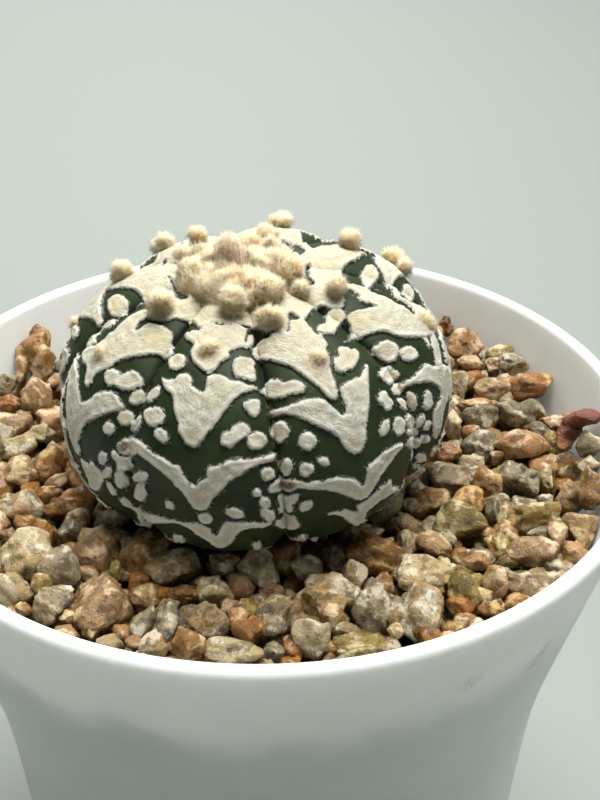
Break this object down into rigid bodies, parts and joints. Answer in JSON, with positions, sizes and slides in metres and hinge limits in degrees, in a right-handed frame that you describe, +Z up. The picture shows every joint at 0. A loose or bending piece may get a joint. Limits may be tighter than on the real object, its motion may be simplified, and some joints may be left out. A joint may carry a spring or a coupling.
{
  "type": "potted star cactus",
  "caption": "Round spineless cactus with broad ribs, raised white felt chevrons and woolly areoles, standing in mixed grit in a flared white plastic pot.",
  "frame": {"origin": "centre of the circle on which the pot's foot ring stands", "axes": "+Z up along the pot's axis; -Y is the front that the picture shows"},
  "size_m": [0.09, 0.09, 0.1073],
  "materials": {
    "pot_plastic": "smooth white moulded plastic, soft gloss",
    "potting_mix": "dark mineral potting mix",
    "grit": "mixed quartz and granite grit, tan, grey and orange",
    "cactus_skin": "dark green waxy skin with white felt chevrons and flecks",
    "areole_wool": "matted tan wool",
    "bud_hair": "pinkish brown hairs over wool",
    "dry_bark": "red-brown dry bark, slightly glossy"
  },
  "bodies": {
    "root": {"pot": "pot_plastic", "soil": "potting_mix", "gravel": "grit", "cactus_body": "cactus_skin", "crown_wool": "areole_wool", "flower_bud": "bud_hair", "bark_chip": "dry_bark"}
  },
  "joints": []
}
